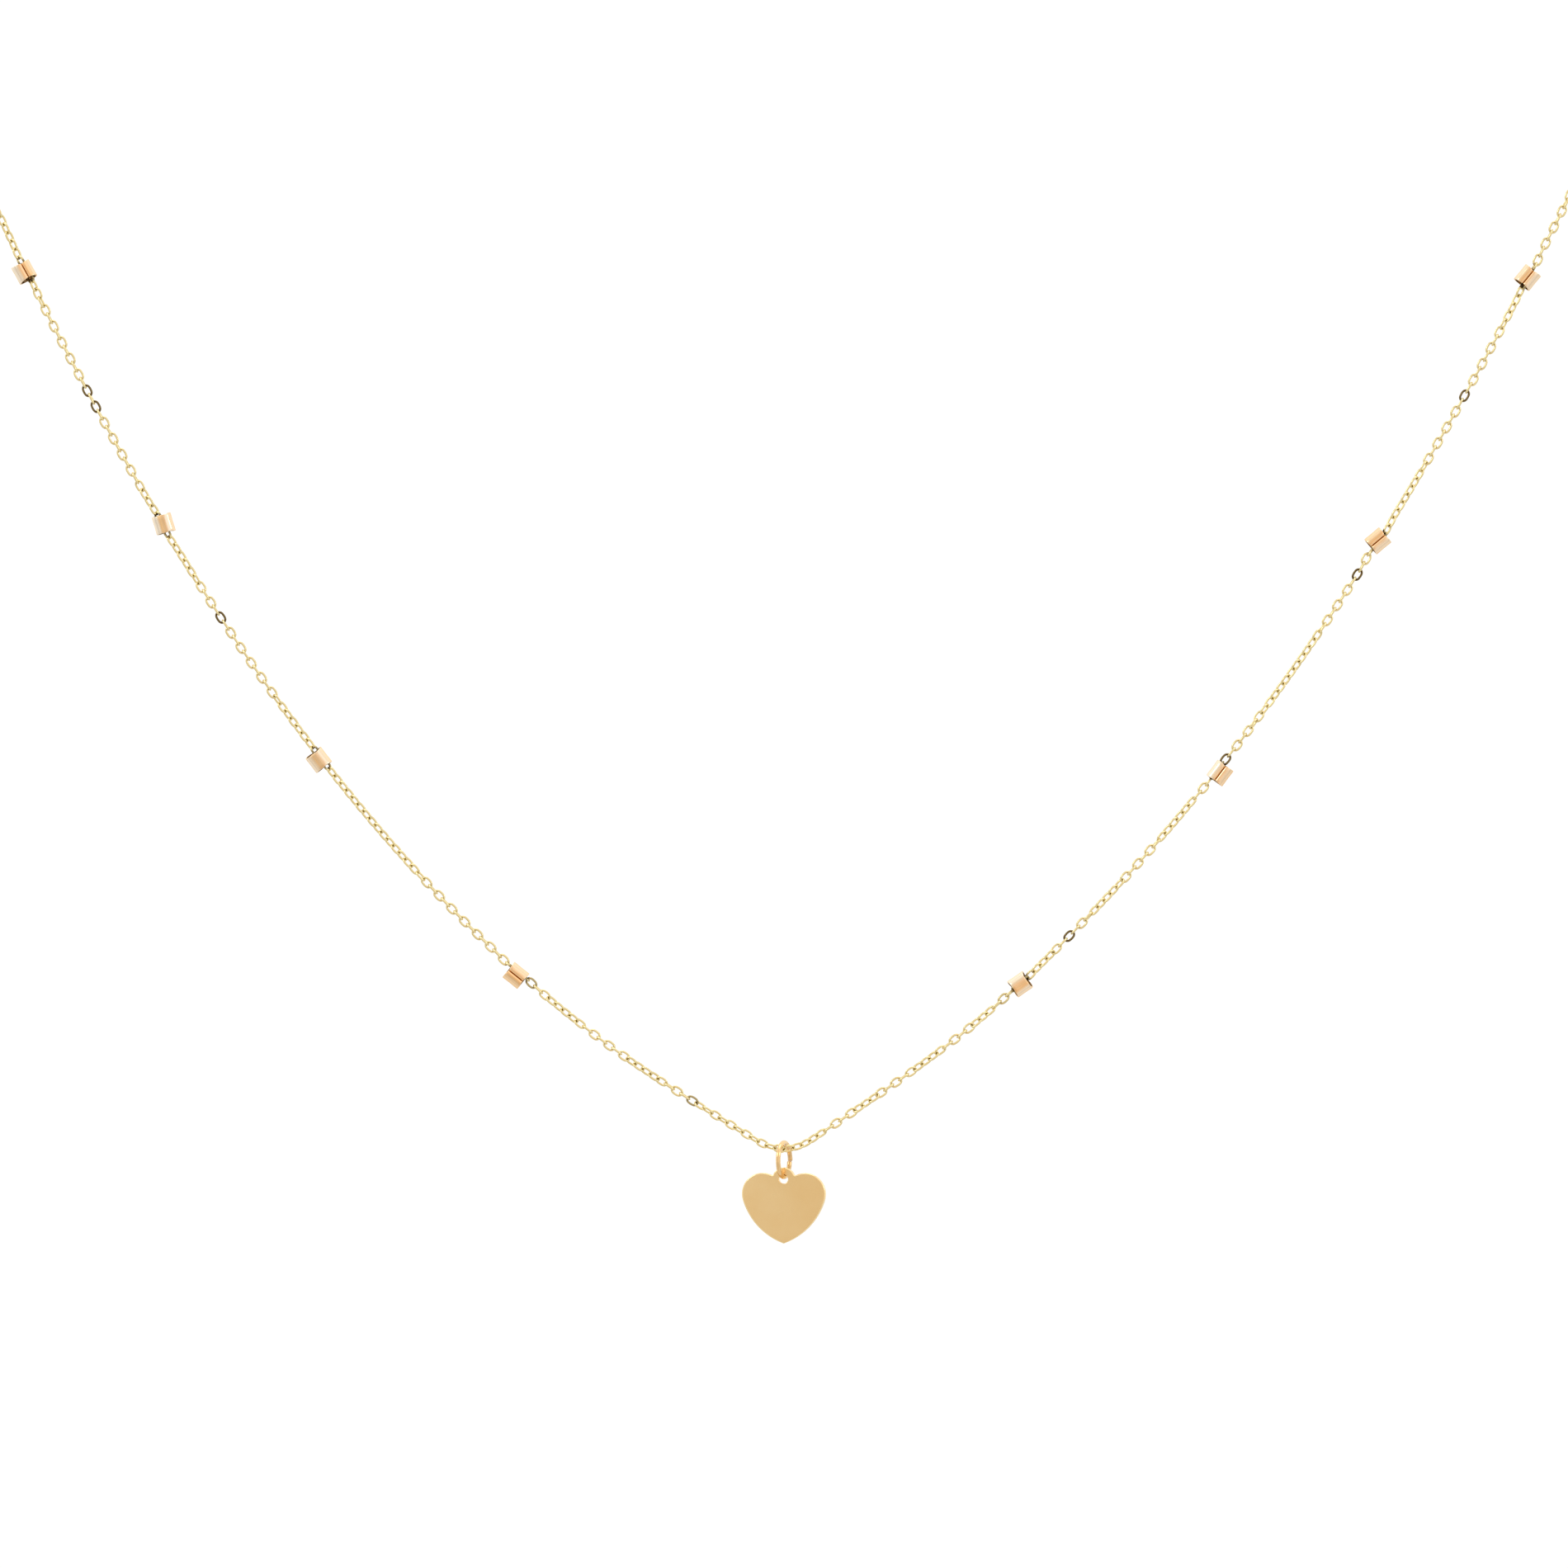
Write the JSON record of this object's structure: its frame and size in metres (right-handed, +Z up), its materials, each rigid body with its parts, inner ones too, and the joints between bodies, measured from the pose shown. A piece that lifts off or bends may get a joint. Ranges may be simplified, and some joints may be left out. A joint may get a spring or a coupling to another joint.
{
  "type": "pendant necklace",
  "caption": "Fine oval cable chain necklace with crimped tube beads at regular stations, a flat heart on a jump ring and a lobster claw clasp.",
  "frame": {"origin": "middle of the neck that the loop rests on, level with the clasp at the nape", "axes": "+X to the viewer's right across the loop, -Y towards the viewer of the pendant's front, +Z up"},
  "size_m": [0.1725, 0.0381, 0.1405],
  "materials": {
    "chain_gold": "polished pale yellow gold wire",
    "bead_rose_gold": "polished peach to rose gold tube, drawn lengthwise",
    "heart_gold": "satin polished gold plate with brighter rim",
    "ring_gold": "polished gold wire",
    "clasp_gold": "tumble polished cast gold",
    "spring_steel": "bright spring strip"
  },
  "bodies": {
    "neck_loop": {"chain_left_5": "chain_gold", "chain_left_6": "chain_gold", "chain_left_7": "chain_gold", "chain_left_8": "chain_gold", "chain_right_5": "chain_gold", "chain_right_6": "chain_gold", "chain_right_7": "chain_gold", "chain_right_8": "chain_gold", "crimp_bead_left_5": "bead_rose_gold", "crimp_bead_left_6": "bead_rose_gold", "crimp_bead_left_7": "bead_rose_gold", "crimp_bead_right_5": "bead_rose_gold", "crimp_bead_right_6": "bead_rose_gold", "crimp_bead_right_7": "bead_rose_gold", "clasp_jump_ring": "ring_gold", "clasp_body": "clasp_gold", "clasp_rivet": "clasp_gold", "clasp_spring": "spring_steel", "end_jump_ring": "ring_gold", "end_ring": "clasp_gold"},
    "drape_4": {"chain_left_4": "chain_gold", "chain_right_4": "chain_gold", "crimp_bead_left_4": "bead_rose_gold", "crimp_bead_right_4": "bead_rose_gold"},
    "drape_3": {"chain_left_3": "chain_gold", "chain_right_3": "chain_gold", "crimp_bead_left_3": "bead_rose_gold", "crimp_bead_right_3": "bead_rose_gold"},
    "drape_2": {"chain_left_2": "chain_gold", "chain_right_2": "chain_gold", "crimp_bead_left_2": "bead_rose_gold", "crimp_bead_right_2": "bead_rose_gold"},
    "drape_1": {"chain_left_1": "chain_gold", "chain_right_1": "chain_gold", "crimp_bead_left_1": "bead_rose_gold", "crimp_bead_right_1": "bead_rose_gold"},
    "ring": {"pendant_jump_ring": "ring_gold"},
    "heart": {"heart_pendant": "heart_gold"},
    "lever": {"clasp_lever": "clasp_gold"}
  },
  "joints": [
    {"name": "drape_4_swing", "type": "hinge", "parent": "neck_loop", "child": "drape_4", "pos_m": [-0.00068, -0.017, -0.03628], "axis": [1, 0, -0.0043], "range_deg": [-25, 25]},
    {"name": "drape_3_swing", "type": "hinge", "parent": "drape_4", "child": "drape_3", "pos_m": [-0.00136, -0.017, -0.06338], "axis": [0.9999, 0, -0.0164], "range_deg": [-25, 25]},
    {"name": "drape_2_swing", "type": "hinge", "parent": "drape_3", "child": "drape_2", "pos_m": [-0.00169, -0.017, -0.08731], "axis": [0.9999, 0, -0.0172], "range_deg": [-25, 25]},
    {"name": "drape_1_swing", "type": "hinge", "parent": "drape_2", "child": "drape_1", "pos_m": [-0.00174, -0.017, -0.10954], "axis": [0.9996, 0, -0.0287], "range_deg": [-25, 25]},
    {"name": "ring_swing", "type": "hinge", "parent": "drape_1", "child": "ring", "pos_m": [0, -0.017, -0.128], "axis": [1, 0, 0], "range_deg": [-60, 60]},
    {"name": "heart_sway", "type": "hinge", "parent": "ring", "child": "heart", "pos_m": [0, -0.017, -0.13087], "axis": [0.342, 0.9397, 0], "range_deg": [-50, 50]},
    {"name": "lever_open", "type": "hinge", "parent": "neck_loop", "child": "lever", "pos_m": [-0.003, 0.017, 0.00035], "axis": [0, 1, 0], "range_deg": [0, 22], "stiffness_Nm_per_rad": 0.00005, "springref_deg": -20.05, "deforming": ["clasp_spring"]}
  ]
}
